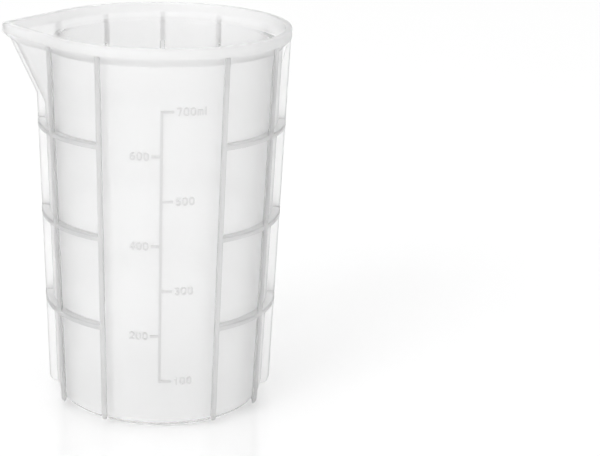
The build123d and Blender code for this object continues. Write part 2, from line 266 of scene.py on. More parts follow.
def linear(hex_value):
    """An sRGB hex colour as linear red, green, blue and alpha."""
    parts = [int(hex_value[i : i + 2], 16) / 255 for i in (0, 2, 4)]
    return (*[c / 12.92 if c <= 0.04045 else ((c + 0.055) / 1.055) ** 2.4 for c in parts], 1.0)


# Sockets of a Mix node that mixes colours, given by their places because several share a name
FACTOR, FIRST, SECOND, MIXED = 0, 6, 7, 2


def put(tree, kind, fields=None, inputs=None):
    """Adds a node to a tree, sets its fields, and sets or links its inputs."""
    node = tree.nodes.new(kind)
    for name, value in (fields or {}).items():
        setattr(node, name, value)
    for name, value in (inputs or {}).items():
        if isinstance(value, bpy.types.NodeSocket):
            tree.links.new(value, node.inputs[name])
        else:
            node.inputs[name].default_value = value
    return node


SIGNS = {ast.Add: "ADD", ast.Sub: "SUBTRACT", ast.Mult: "MULTIPLY", ast.Div: "DIVIDE", ast.Pow: "POWER"}
WORDS = {
    "sin": "SINE", "cos": "COSINE", "acos": "ARCCOSINE", "asin": "ARCSINE", "atan2": "ARCTAN2",
    "sqrt": "SQRT", "abs": "ABSOLUTE", "nearest": "ROUND", "least": "MINIMUM", "most": "MAXIMUM",
    "smooth_most": "SMOOTH_MAX", "below": "LESS_THAN",
}


def reckon(tree, text, **values):
    """Adds a written sum to a tree as Math nodes and gives the socket of its result."""
    known = {"pi": math.pi, "tau": math.tau, "mm": MM, "tiny": TINY, "small": SMALL, **values}

    def build(part):
        if isinstance(part, ast.Constant):
            return part.value
        if isinstance(part, ast.Name):
            return known[part.id]
        if isinstance(part, ast.BinOp):
            operation, terms = SIGNS[type(part.op)], (part.left, part.right)
        else:
            operation, terms = WORDS[part.func.id], part.args
        inputs = {place: build(term) for place, term in enumerate(terms)}
        return put(tree, "ShaderNodeMath", {"operation": operation}, inputs).outputs[0]

    return build(ast.parse(text).body[0].value)


def ramp(tree, value, start, end):
    """Rises from 0 at the start to 1 at the end, and stays there."""
    text = "least(most((value - start) / (end - start), 0), 1)"
    return reckon(tree, text, value=value, start=start, end=end)


class Recipe:
    """A new Geometry Nodes tree with named number inputs and a material input."""

    def __init__(self, name, numbers):
        self.tree = bpy.data.node_groups.new(name, "GeometryNodeTree")
        sockets = self.tree.interface
        sockets.new_socket("Geometry", in_out="INPUT", socket_type="NodeSocketGeometry")
        for size in numbers:
            sockets.new_socket(size, in_out="INPUT", socket_type="NodeSocketFloat")
        sockets.new_socket("Material", in_out="INPUT", socket_type="NodeSocketMaterial")
        sockets.new_socket("Geometry", in_out="OUTPUT", socket_type="NodeSocketGeometry")
        self.given = put(self.tree, "NodeGroupInput").outputs
        self.sizes = {size: self.given[size] for size in numbers}

    def reckon(self, text, **values):
        """A written sum that may name the tree's own inputs."""
        return reckon(self.tree, text, **{**self.sizes, **values})

    def finish(self, geometry):
        """Merges the seams, makes instances real and gives everything its material."""
        merged = put(
            self.tree, "GeometryNodeMergeByDistance", inputs={"Geometry": geometry, "Distance": MERGE}
        )
        real = put(self.tree, "GeometryNodeRealizeInstances", inputs={"Geometry": merged.outputs[0]})
        painted = put(
            self.tree,
            "GeometryNodeSetMaterial",
            inputs={"Geometry": real.outputs[0], "Material": self.given["Material"]},
        )
        put(self.tree, "NodeGroupOutput", inputs={"Geometry": painted.outputs[0]})
        return self.tree


def cup_numbers(cup):
    """The cup's sizes as the node trees take them: straight lines of height, and limits."""
    slope = (cup.flare_radius - cup.base_radius) / (cup.flare_z - cup.base_z)
    foot = cup.base_radius - slope * cup.base_z
    thicker = (cup.top_thickness - cup.foot_thickness) / cup.height
    nose_top = cup.spout_reach - cup.spout_setback
    root_z = cup.height - cup.spout_depth
    return {
        "foot": foot,
        "slope": slope,
        "skin": cup.foot_thickness,
        "thicker": thicker,
        "rim": cup.rim_radius,
        "flare_z": cup.flare_z,
        "band_z": cup.height - cup.band_height,
        "crease": cup.crease_radius,
        "lip": cup.crease_radius + cup.rim_thickness,
        "lip_distance": cup.spout_reach - cup.crease_radius - cup.rim_thickness,
        "nose_top": nose_top,
        "nose_slope": (nose_top - foot - slope * root_z) / (cup.flare_z - root_z),
        "blend": cup.spout_blend,
        "columns": cup.columns,
        "foot_rounding": cup.foot_rounding,
    }


def rounded_outline(corners):
    """Points of a line of corners (across, up, rounding, steps), with an arc at each rounding."""
    points = [Vector(corners[0][:2])]
    for before, corner, after in zip(corners, corners[1:], corners[2:]):
        place, rounding, steps = Vector(corner[:2]), corner[2], corner[3]
        if rounding == 0:
            points.append(place)
            continue
        back = (Vector(before[:2]) - place).normalized()
        on = (Vector(after[:2]) - place).normalized()
        half = back.angle(on) / 2
        start = place + back * rounding / math.tan(half)
        end = place + on * rounding / math.tan(half)
        centre = place + (back + on).normalized() * rounding / math.sin(half)
        first, last = (math.atan2(*(point - centre).yx) for point in (start, end))
        sweep = math.remainder(last - first, math.tau)
        for step in range(steps + 1):
            angle = first + sweep * step / steps
            points.append(centre + rounding * Vector((math.cos(angle), math.sin(angle))))
    points.append(Vector(corners[-1][:2]))
    return points


def cup_section(cup):
    """The cup's section, from the middle of its underside out, up, over the rim and down inside."""
    given = cup_numbers(cup)

    def outside(z):
        return given["foot"] + given["slope"] * z

    def inside(z):
        return outside(z) - given["skin"] - given["thicker"] * z

    spout_low = cup.height - cup.spout_depth - SPOUT_MARGIN
    inner_rounding = cup.foot_rounding - cup.foot_thickness
    mouth = cup.rim_radius - cup.rim_thickness
    corners = [
        (0, 0, 0, 0),
        (outside(0), 0, cup.foot_rounding, FOOT_STEPS),
        (outside(spout_low), spout_low, 0, 0),
        (outside(cup.flare_z), cup.flare_z, cup.corner_edge, CORNER_STEPS),
        (cup.rim_radius, given["band_z"], cup.rim_edge, CORNER_STEPS),
        (cup.rim_radius, cup.height, cup.rim_edge, RIM_STEPS),
        (mouth, cup.height, cup.rim_edge, RIM_STEPS),
        (mouth, given["band_z"], cup.corner_edge, CORNER_STEPS),
        (inside(cup.flare_z), cup.flare_z, cup.corner_edge, CORNER_STEPS),
        (inside(spout_low), spout_low, 0, 0),
        (inside(cup.floor_thickness), cup.floor_thickness, inner_rounding, INNER_FOOT_STEPS),
        (0, cup.floor_thickness, 0, 0),
    ]
    points = rounded_outline(corners)
    rows = [points[0]]
    for start, end in zip(points, points[1:]):
        step = cup.row_step if min(start.y, end.y) >= spout_low - MERGE else ROW_STEP
        count = max(1, math.ceil((end - start).length / step))
        rows += [start.lerp(end, (part + 1) / count) for part in range(count)]
    return rows


SHELL_SIZES = [
    "foot", "slope", "skin", "thicker", "rim", "flare_z", "band_z", "crease", "lip", "lip_distance",
    "nose_top", "nose_slope", "blend", "columns", "gather",
]


def shell_recipe():
    """Turns the section round the axis and draws the spout out of it.

    Seen from above, each row is a circle with two tangent sides that meet in a round nose.
    """
    recipe = Recipe("cup_shell", SHELL_SIZES)
    tree, n = recipe.tree, recipe.reckon
    section = recipe.given["Geometry"]
    size = put(tree, "GeometryNodeAttributeDomainSize", inputs={"Geometry": section}).outputs
    count = size["Point Count"]
    grid = put(
        tree,
        "GeometryNodeMeshGrid",
        inputs={"Size X": 1.0, "Size Y": 1.0, "Vertices X": n("columns + 1"), "Vertices Y": count},
    ).outputs["Mesh"]
    position = put(tree, "GeometryNodeInputPosition").outputs[0]
    at = put(tree, "ShaderNodeSeparateXYZ", inputs={"Vector": position}).outputs
    row = n("nearest((y + 0.5) * (count - 1))", y=at["Y"], count=count)
    taken = put(
        tree,
        "GeometryNodeSampleIndex",
        {"data_type": "FLOAT_VECTOR", "domain": "POINT"},
        {"Geometry": section, "Value": position, "Index": row},
    ).outputs["Value"]
    point = put(tree, "ShaderNodeSeparateXYZ", inputs={"Vector": taken}).outputs
    r, z = point["X"], point["Z"]

    # Columns gather towards the nose, where the outline bends most
    turn = n("tau * (x + 0.5)", x=at["X"])
    angle = n("turn - gather * sin(turn)", turn=turn)
    a = n("pi - abs(pi - angle)", angle=angle)

    # Circle, nose and nose distance of this row's outline; near the axis the blend grows small
    low = n("least(z, flare_z)", z=z)
    up = ramp(tree, z, recipe.sizes["flare_z"], recipe.sizes["band_z"])
    outer = n("(foot + slope * low) * (1 - up) + rim * up", low=low, up=up)
    channel = n("crease + skin + thicker * low", low=low)
    nose_out = n("channel * (1 - up) + lip * up", channel=channel, up=up)
    reach = n("nose_top - nose_slope * (flare_z - low) - channel", low=low, channel=channel)
    distance = n("reach * (1 - up) + lip_distance * up", reach=reach, up=up)
    bite = n("least(blend * (1 - up), r / 10)", up=up, r=r)
    circle = n("most(r - bite, 0)", r=r, bite=bite)
    nose = n("most(nose_out - outer + r, tiny)", nose_out=nose_out, outer=outer, r=r)
    d = n("most(most(distance, circle - nose + tiny), mm)", distance=distance, circle=circle, nose=nose)

    # The outline's radius towards this column
    lean = n("acos(least((circle - nose) / d, 1))", circle=circle, nose=nose, d=d)
    edge = n("atan2(nose * sin(lean), d + nose * cos(lean))", nose=nose, lean=lean, d=d)
    side = n("circle / most(cos(lean - a), small)", circle=circle, lean=lean, a=a)
    tip = n("d * cos(a) + sqrt(most(nose ** 2 - (d * sin(a)) ** 2, 0))", d=d, a=a, nose=nose)
    flank = n("circle + below(a, lean) * (side - circle)", circle=circle, a=a, lean=lean, side=side)
    outline = n("flank + below(a, edge) * (tip - flank)", flank=flank, a=a, edge=edge, tip=tip)
    radius = n("smooth_most(r, outline, bite)", r=r, outline=outline, bite=bite)
    place = put(
        tree,
        "ShaderNodeCombineXYZ",
        inputs={
            "X": n("0 - radius * cos(angle)", radius=radius, angle=angle),
            "Y": n("0 - radius * sin(angle)", radius=radius, angle=angle),
            "Z": z,
        },
    ).outputs[0]
    shaped = put(tree, "GeometryNodeSetPosition", inputs={"Geometry": grid, "Position": place}).outputs[0]
    return recipe.finish(shaped)


BODY_SIZES = ["foot", "slope", "rim", "flare_z", "band_z", "foot_rounding"]
BAR_SIZES = ["rows", "thickness", "edge", "sink", "shy", "rib_foot", "rib_slope"]


def bar_section(recipe, at):
    """Places round a bar's section: across it from -1 to 1, and out of the wall from 0 to 1."""
    n = recipe.reckon
    turn = n("tau * (x + 0.5)", x=at["X"])
    far = n("most(abs(cos(turn)), abs(sin(turn)))", turn=turn)
    across = n("sin(pi / 2 * sin(turn) / far)", turn=turn, far=far)
    out = n("(cos(turn) / far + 1) / 2", turn=turn, far=far)
    return across, out


def edge_drop(recipe, across, half):
    """How far a bar's rounded outer edge lies below the flat middle of its outer face."""
    n = recipe.reckon
    over = n("most(abs(across) * half - half + edge, 0)", across=across, half=half)
    return n("edge - sqrt(most(edge ** 2 - over ** 2, 0))", over=over)


def bars(recipe):
    """The flat grids, one for each start point, that the bars are shaped from."""
    tree = recipe.tree
    grid = put(
        tree,
        "GeometryNodeMeshGrid",
        inputs={
            "Size X": 1.0,
            "Size Y": 1.0,
            "Vertices X": BAR_COLUMNS + 1,
            "Vertices Y": recipe.sizes["rows"],
        },
    ).outputs["Mesh"]
    many = put(
        tree,
        "GeometryNodeInstanceOnPoints",
        inputs={"Points": recipe.given["Geometry"], "Instance": grid},
    ).outputs[0]
    return put(tree, "GeometryNodeRealizeInstances", inputs={"Geometry": many}).outputs[0]


def rib_recipe():
    """Upright plates that stand on the wall and lean with it, with rounded edges and lower ends."""
    recipe = Recipe("upright_ribs", BODY_SIZES + BAR_SIZES + ["low_z", "low_rounding"])
    tree, n = recipe.tree, recipe.reckon
    grids = bars(recipe)
    position = put(tree, "GeometryNodeInputPosition").outputs[0]
    at = put(tree, "ShaderNodeSeparateXYZ", inputs={"Vector": position}).outputs
    share, turn, top = (
        put(tree, "GeometryNodeInputNamedAttribute", inputs={"Name": name}).outputs["Attribute"]
        for name in ("share", "turn", "top")
    )
    across, out = bar_section(recipe, at)

    # Rows gather at the rounded lower end; the last one closes the top
    row = n("nearest((y + 0.5) * (rows - 1))", y=at["Y"])
    climb = n("least(row / (rows - 2), 1)", row=row)
    open_row = n("below(row, rows - 1.5)", row=row)
    z = n("low_z + (top - low_z) * climb ** 2", top=top, climb=climb)
    rise = n("z - low_z", z=z)
    half = n("thickness / 2")
    end = n("1 - least(rise / half, 1)", rise=rise, half=half)
    width = n("half * sqrt(most(1 - end ** 2, 0)) * open_row", half=half, end=end, open_row=open_row)
    depth = n("0.5 + (out - 0.5) * open_row", out=out, open_row=open_row)

    # Inner edge in the wall, outer edge on the taper
    wall = n("foot + slope * least(z, flare_z)", z=z)
    up = ramp(tree, z, recipe.sizes["flare_z"], recipe.sizes["band_z"])
    body = n("wall + (rim - wall) * up", wall=wall, up=up)
    under = n("most(foot_rounding - z, 0)", z=z)
    skin = n("body - foot_rounding + sqrt(foot_rounding ** 2 - under ** 2)", body=body, under=under)
    heel = n("most(low_rounding - rise, 0)", rise=rise)
    cut = n("low_rounding - sqrt(most(low_rounding ** 2 - heel ** 2, 0))", heel=heel)
    drop = n("drop * open_row", drop=edge_drop(recipe, across, half), open_row=open_row)
    outer = n("rib_foot + rib_slope * z - shy - cut - drop", z=z, cut=cut, drop=drop)
    inner = n("skin - sink", skin=skin)
    radius = n("inner + (most(outer, inner) - inner) * depth", inner=inner, outer=outer, depth=depth)
    x = n("share * (foot + slope * z) + across * width", share=share, z=z, across=across, width=width)
    y = n("sqrt(most(radius ** 2 - x ** 2, 0))", radius=radius, x=x)
    place = put(
        tree,
        "ShaderNodeCombineXYZ",
        inputs={
            "X": n("x * cos(turn) - y * sin(turn)", x=x, y=y, turn=turn),
            "Y": n("x * sin(turn) + y * cos(turn)", x=x, y=y, turn=turn),
            "Z": z,
        },
    ).outputs[0]
    shaped = put(tree, "GeometryNodeSetPosition", inputs={"Geometry": grids, "Position": place}).outputs[0]
    return recipe.finish(shaped)


def hoop_recipe():
    """Level bars round the cup, from one inner rib in front right round to the other."""
    recipe = Recipe("hoops", BODY_SIZES + BAR_SIZES + ["share"])
    tree, n = recipe.tree, recipe.reckon
    grids = bars(recipe)
    position = put(tree, "GeometryNodeInputPosition").outputs[0]
    at = put(tree, "ShaderNodeSeparateXYZ", inputs={"Vector": position}).outputs
    low = put(tree, "GeometryNodeInputNamedAttribute", inputs={"Name": "low"}).outputs["Attribute"]
    across, out = bar_section(recipe, at)

    # The first and the last row close the ends
    row = n("nearest((y + 0.5) * (rows - 1))", y=at["Y"])
    round_share = n("least(most((row - 1) / (rows - 3), 0), 1)", row=row)
    open_row = n("below(abs(row / (rows - 1) - 0.5), 0.5 - tiny)", row=row)
    half = n("thickness / 2")
    z = n("low + half + across * half * open_row", low=low, half=half, across=across, open_row=open_row)
    depth = n("0.5 + (out - 0.5) * open_row", out=out, open_row=open_row)
    inner = n("foot + slope * z - sink", z=z)
    drop = n("drop * open_row", drop=edge_drop(recipe, across, half), open_row=open_row)
    outer = n("rib_foot + rib_slope * z - shy - drop", z=z, drop=drop)
    radius = n("inner + (outer - inner) * depth", inner=inner, outer=outer, depth=depth)
    start = n("asin(share * (foot + slope * z) / radius)", z=z, radius=radius)
    angle = n("start + (tau - 2 * start) * round_share", start=start, round_share=round_share)
    place = put(
        tree,
        "ShaderNodeCombineXYZ",
        inputs={
            "X": n("radius * sin(angle)", radius=radius, angle=angle),
            "Y": n("0 - radius * cos(angle)", radius=radius, angle=angle),
            "Z": z,
        },
    ).outputs[0]
    shaped = put(tree, "GeometryNodeSetPosition", inputs={"Geometry": grids, "Position": place}).outputs[0]
    return recipe.finish(shaped)


def start_points(name, rows):
    """A mesh of bare points at the origin, each with its own noted numbers."""
    mesh = bpy.data.meshes.new(name)
    mesh.from_pydata([(0, 0, 0)] * len(rows), [], [])
    for key in rows[0]:
        kept = mesh.attributes.new(key, "FLOAT", "POINT")
        kept.data.foreach_set("value", [row[key] for row in rows])
    return mesh


def features():
    """The collection of everything that is to be fused with the shell."""
    kept = bpy.data.collections.get("cup_features")
    if kept is None:
        kept = bpy.data.collections.new("cup_features")
        bpy.context.scene.collection.children.link(kept)
    return kept


def grow(name, tree, start, numbers, material, group):
    """Runs a node tree on a start mesh and keeps the closed, plain mesh that comes out."""
    piece = bpy.data.objects.new(name, start)
    group.objects.link(piece)
    modifier = piece.modifiers.new("shape", "NODES")
    modifier.node_group = tree
    for item in tree.interface.items_tree:
        if item.in_out == "INPUT" and item.name in numbers:
            modifier[item.identifier] = float(numbers[item.name])
        if item.in_out == "INPUT" and item.name == "Material":
            modifier[item.identifier] = material
    made = plain_mesh(piece)
    piece.modifiers.clear()
    piece.data = made
    made.name = name
    close_up(made)
    note_zone(made, RIB_ZONE if group == features() else WALL_ZONE)
    return piece


def plain_mesh(piece):
    """The mesh that a piece's modifiers make."""
    depsgraph = bpy.context.evaluated_depsgraph_get()
    return bpy.data.meshes.new_from_object(piece.evaluated_get(depsgraph), depsgraph=depsgraph)


def close_up(mesh):
    """Turns a closed mesh's faces outwards, and stops the script if the mesh has a gap."""
    work = bmesh.new()
    work.from_mesh(mesh)
    bmesh.ops.dissolve_degenerate(work, edges=work.edges, dist=MERGE / 10)
    bmesh.ops.recalc_face_normals(work, faces=work.faces)
    bmesh.ops.delete(work, geom=[edge for edge in work.edges if edge.is_wire], context="EDGES")
    gaps = sum(not edge.is_manifold for edge in work.edges)
    work.to_mesh(mesh)
    work.free()
    if gaps:
        raise RuntimeError(f"{mesh.name} has {gaps} open edges")


def note_zone(mesh, value):
    """Notes on every face which finish and which painted shade it has."""
    zone = mesh.attributes.new("zone", "FLOAT", "FACE")
    zone.data.foreach_set("value", [value] * len(mesh.polygons))


def add_feature(name, mesh, zone):
    """Puts a finished mesh among the features that are to be fused with the shell."""
    mesh.materials.append(cup_material())
    close_up(mesh)
    note_zone(mesh, zone)
    features().objects.link(bpy.data.objects.new(name, mesh))


def numbers_of(items, name, width):
    """One property of every item of a mesh, as rows of numbers."""
    values = np.empty(len(items) * width)
    items.foreach_get(name, values)
    return values.reshape(-1, width)


def settle_normals(mesh, given):
    """Mends the normals that the cuts of the fusing have bent.

    The wall takes the taper's own normals, so that no streak is left beside the scale. Elsewhere
    a normal that leans further than a smooth edge can is set upright on its face again.
    """
    vertex_of = numbers_of(mesh.loops, "vertex_index", 1).astype(int)[:, 0]
    corner_counts = numbers_of(mesh.polygons, "loop_total", 1).astype(int)[:, 0]
    corners = numbers_of(mesh.vertices, "co", 3)[vertex_of]
    normals = numbers_of(mesh.corner_normals, "vector", 3)
    faces = np.repeat(numbers_of(mesh.polygons, "normal", 3), corner_counts, axis=0)
    radius = np.hypot(corners[:, 0], corners[:, 1])
    taper = np.column_stack([corners[:, 0], corners[:, 1], -given["slope"] * radius])
    taper /= np.linalg.norm(taper, axis=1)[:, None]
    outside = given["foot"] + given["slope"] * corners[:, 2]
    leaning = (faces * normals).sum(axis=1) < math.cos(SHARP)
    normals[leaning] = faces[leaning]
    on_wall = (np.abs(radius - outside) < WALL_CLOSE) & ((faces * taper).sum(axis=1) > ALIKE)
    normals[on_wall] = taper[on_wall]
    mesh.normals_split_custom_set(normals.tolist())


def silicone():
    """Silicone rubber, injection moulded: milky, so depth dims it and its skin blurs what is behind.

    The tool was blasted outside and polished inside, so the outer skin is matt and the inner
    one smoother. The ribs and the raised scale let in more light than the wall. Their colour
    is a little darker than the wall's: painted shade that stands in for the dimming of light in
    the extra rubber behind them.
    """
    look, given = bpy.context.scene.silicone_look, cup_numbers(bpy.context.scene.mixing_cup)
    material = bpy.data.materials.new("moulded_silicone_rubber")
    material.use_nodes = True
    tree = material.node_tree
    tree.nodes.clear()
    place = put(tree, "ShaderNodeTexCoord").outputs["Object"]
    at = put(tree, "ShaderNodeSeparateXYZ", inputs={"Vector": place}).outputs
    axis_distance = reckon(tree, "sqrt(x ** 2 + y ** 2)", x=at["X"], y=at["Y"])

    # How much of each finish and painted shade is here: the noted zone on the outside, and the depth for the
    # inside
    zone = put(tree, "ShaderNodeAttribute", {"attribute_name": "zone"}).outputs["Fac"]
    finish = {
        "rib": reckon(tree, "most(zone * 2 - 1, 0)", zone=zone),
        "relief": reckon(tree, "1 - abs(zone * 2 - 1)", zone=zone),
        "inside": reckon(
            tree,
            "below(distance - foot - slope * z, limit)",
            distance=axis_distance,
            z=at["Z"],
            foot=given["foot"],
            slope=given["slope"],
            limit=-given["skin"] / 2,
        ),
    }
    mixed = "(wall + (inner - wall) * inside) * (1 - rib - relief) + ribs * rib + scale * relief"

    clouds = put(
        tree,
        "ShaderNodeTexNoise",
        inputs={"Vector": place, "Scale": 1 / look.cloud_size, "Detail": CLOUD_DETAIL},
    ).outputs["Fac"]
    grain = put(
        tree,
        "ShaderNodeTexNoise",
        inputs={"Vector": place, "Scale": 1 / look.grain_size, "Detail": GRAIN_DETAIL},
    ).outputs["Fac"]
    body = put(
        tree,
        "ShaderNodeMix",
        {"data_type": "RGBA"},
        {FACTOR: clouds, FIRST: linear(look.body_colour), SECOND: linear(look.cloud_colour)},
    )

    # A rib's outer face gets painted shade: a grey in its colour that stands in for the darkness seen down
    # the rib's whole depth, least in its middle
    normal = put(tree, "ShaderNodeNewGeometry").outputs["True Normal"]
    out = put(tree, "ShaderNodeSeparateXYZ", inputs={"Vector": normal}).outputs
    facing_out = reckon(
        tree,
        "abs(x * nx + y * ny) / most(distance, mm)",
        x=at["X"],
        y=at["Y"],
        nx=out["X"],
        ny=out["Y"],
        distance=axis_distance,
    )
    painted_edge_shade = reckon(
        tree,
        "rib * (outer - middle * flat)",
        rib=finish["rib"],
        outer=ramp(tree, facing_out, *OUTER_FACE),
        middle=look.middle_share,
        flat=ramp(tree, facing_out, *FLAT_MIDDLE),
    )
    with_painted_edge_shade = put(
        tree,
        "ShaderNodeMix",
        {"data_type": "RGBA"},
        {FACTOR: painted_edge_shade, FIRST: body.outputs[MIXED], SECOND: linear(look.painted_edge_shade_colour)},
    )
    # Painted shade on the raised scale: a flat grey for the dimming of light in its thicker rubber
    colours = put(
        tree,
        "ShaderNodeMix",
        {"data_type": "RGBA"},
        {FACTOR: finish["relief"], FIRST: with_painted_edge_shade.outputs[MIXED], SECOND: linear(look.scale_painted_shade_colour)},
    )
    roughness = reckon(
        tree,
        mixed + " + (clouds - 0.5) * spread",
        wall=look.wall_roughness,
        inner=look.inner_roughness,
        ribs=look.rib_roughness,
        scale=look.scale_roughness,
        clouds=clouds,
        spread=ROUGHNESS_SPREAD,
        **finish,
    )
    clearness = reckon(
        tree,
        mixed,
        wall=look.wall_clearness,
        inner=look.inner_clearness,
        ribs=look.rib_clearness,
        scale=look.scale_clearness,
        **finish,
    )
    skin = put(
        tree,
        "ShaderNodeBump",
        inputs={"Height": grain, "Distance": look.grain_depth, "Strength": 1.0},
    )
    surface = put(
        tree,
        "ShaderNodeBsdfPrincipled",
        inputs={
            "Base Color": colours.outputs[MIXED],
            "Roughness": roughness,
            "IOR": SILICONE_IOR,
            "Transmission Weight": clearness,
            "Normal": skin.outputs[0],
        },
    )
    rubber = put(
        tree,
        "ShaderNodeVolumeAbsorption",
        inputs={"Color": linear(look.depth_colour), "Density": look.density},
    )
    put(
        tree,
        "ShaderNodeOutputMaterial",
        inputs={"Surface": surface.outputs[0], "Volume": rubber.outputs[0]},
    )
    return material


def cup_material():
    """The one material of the cup, made when it is first asked for."""
    return bpy.data.materials.get("moulded_silicone_rubber") or silicone()


def rib_numbers(context, **more):
    """Everything that the rib and hoop recipes take."""
    cup, ribs = context.scene.mixing_cup, context.scene.cup_ribs
    numbers = cup_numbers(cup)
    rib_foot = numbers["foot"] + ribs.foot_depth
    return {
        **numbers,
        "edge": ribs.edge,
        "sink": ribs.sink,
        "shy": ribs.shy,
        "rib_foot": rib_foot,
        "rib_slope": (cup.rim_radius - rib_foot) / cup.height,
        "low_z": ribs.foot_z,
        "low_rounding": ribs.foot_rounding,
        **more,
    }


class CUP_OT_shell(bpy.types.Operator):
    """Make the cup's floor, wall, rim and spout"""

    bl_idname = "cup.shell"
    bl_label = "Shell"

    def execute(self, context):
        cup = context.scene.mixing_cup
        section = bpy.data.meshes.new("cup_section")
        section.from_pydata([(point.x, 0, point.y) for point in cup_section(cup)], [], [])
        numbers = {**cup_numbers(cup), "gather": COLUMN_GATHER}
        grow("cup_moulding", shell_recipe(), section, numbers, cup_material(), context.scene.collection)
        return {"FINISHED"}


class CUP_OT_ribs(bpy.types.Operator):
    """Make the upright ribs"""

    bl_idname = "cup.ribs"
    bl_label = "Upright ribs"

    def execute(self, context):
        cup, ribs = context.scene.mixing_cup, context.scene.cup_ribs
        top = cup.height - cup.band_height + ribs.edge
        shares = (-ribs.outer_share, -ribs.inner_share, 0.0, ribs.inner_share, ribs.outer_share)
        rows = [{"share": share, "turn": math.pi, "top": top} for share in shares if share]
        rows += [{"share": share, "turn": 0.0, "top": top} for share in shares]
        rows.append({"share": 0.0, "turn": -math.pi / 2, "top": top})
        rows.append({"share": 0.0, "turn": math.pi / 2, "top": highest("rib_under_spout").z})
        numbers = rib_numbers(context, rows=RIB_ROWS, thickness=ribs.thickness)
        start = start_points("rib_places", rows)
        grow("upright_ribs", rib_recipe(), start, numbers, cup_material(), features())
        return {"FINISHED"}


class CUP_OT_hoops(bpy.types.Operator):
    """Make the hoops between the ribs"""

    bl_idname = "cup.hoops"
    bl_label = "Hoops"

    def execute(self, context):
        ribs = context.scene.cup_ribs
        rows = [{"low": ribs.hoop_first + step * ribs.hoop_pitch} for step in range(ribs.hoop_count)]
        numbers = rib_numbers(context, rows=HOOP_ROWS, thickness=ribs.hoop_height, share=ribs.inner_share)
        start = start_points("hoop_places", rows)
        grow("hoops", hoop_recipe(), start, numbers, cup_material(), features())
        return {"FINISHED"}


class CUP_OT_keel(bpy.types.Operator):
    """Make the ridge along the spout's nose"""

    bl_idname = "cup.keel"
    bl_label = "Keel"

    def execute(self, context):
        cup, ribs = context.scene.mixing_cup, context.scene.cup_ribs
        given = cup_numbers(cup)
        half = ribs.keel_thickness / 2
        root_z = cup.height - cup.spout_depth
        rows = []
        for z in (root_z - KEEL_RUN_IN, cup.flare_z + (given["band_z"] - cup.flare_z) / 2):
            reach = given["nose_top"] - given["nose_slope"] * (cup.flare_z - z)
            row = [(-reach + ribs.sink, half, z), (-reach + ribs.sink, -half, z)]
            for step in range(KEEL_STEPS + 1):
                across = (2 * step / KEEL_STEPS - 1) * half
                over = max(abs(across) - half + ribs.edge, 0)
                drop = ribs.edge - math.sqrt(ribs.edge**2 - over**2)
                row.append((-reach - ribs.keel_depth + drop, across, z))
            rows.append(row)
        count = len(rows[0])
        faces = [tuple(range(count)), tuple(range(count, 2 * count))]
        faces += [(i, (i + 1) % count, (i + 1) % count + count, i + count) for i in range(count)]
        mesh = bpy.data.meshes.new("spout_keel_ridge")
        mesh.from_pydata(rows[0] + rows[1], [], faces)
        add_feature("spout_keel_ridge", mesh, RIB_ZONE)
        return {"FINISHED"}


class CUP_OT_scale(bpy.types.Operator):
    """Make the raised line, marks and numbers"""

    bl_idname = "cup.scale"
    bl_label = "Raised scale"

    def execute(self, context):
        cup = context.scene.mixing_cup
        given = cup_numbers(cup)
        middle = (cup.base_z + cup.flare_z) / 2
        for name in SCALE_NODES:
            work = bmesh.new()
            work.from_mesh(frame["nodes"][name].data)
            bmesh.ops.remove_doubles(work, verts=work.verts, dist=MERGE)
            for vertex in work.verts:
                radius = math.hypot(vertex.co.x, vertex.co.y)
                if radius < given["foot"] + given["slope"] * vertex.co.z + RELIEF_MIDDLE:
                    vertex.co.xy *= 1 - RELIEF_SINK / radius

                # A mark's inner end goes into the line, just off the level of the line's own ends
                if name.startswith("mark_") and abs(vertex.co.x) < LINE_HALF + MARK_OVERLAP:
                    vertex.co.x -= math.copysign(MARK_OVERLAP, vertex.co.x)
                    vertex.co.z += math.copysign(MERGE, middle - vertex.co.z)
            mesh = bpy.data.meshes.new("raised_" + name)
            work.to_mesh(mesh)
            work.free()
            add_feature("raised_" + name, mesh, SCALE_ZONE)
        return {"FINISHED"}


class CUP_OT_fuse(bpy.types.Operator):
    """Fuse the features into one closed moulding"""

    bl_idname = "cup.fuse"
    bl_label = "Fuse the moulding"

    def execute(self, context):
        moulding = bpy.data.objects["cup_moulding"]
        fused = moulding.modifiers.new("fused", "BOOLEAN")
        fused.operation, fused.solver = "UNION", "EXACT"
        fused.operand_type, fused.collection = "COLLECTION", features()
        made = plain_mesh(moulding)
        moulding.modifiers.clear()
        moulding.data = made
        made.name = "cup_moulding"
        made.materials.clear()
        made.materials.append(cup_material())
        for piece in list(features().objects):
            bpy.data.objects.remove(piece)
        close_up(made)
        made.shade_smooth()
        made.set_sharp_from_angle(angle=SHARP)
        settle_normals(made, cup_numbers(context.scene.mixing_cup))
        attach(moulding, "root")
        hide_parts(*SHELL_NODES, *RIB_NODES, *SCALE_NODES)
        return {"FINISHED"}


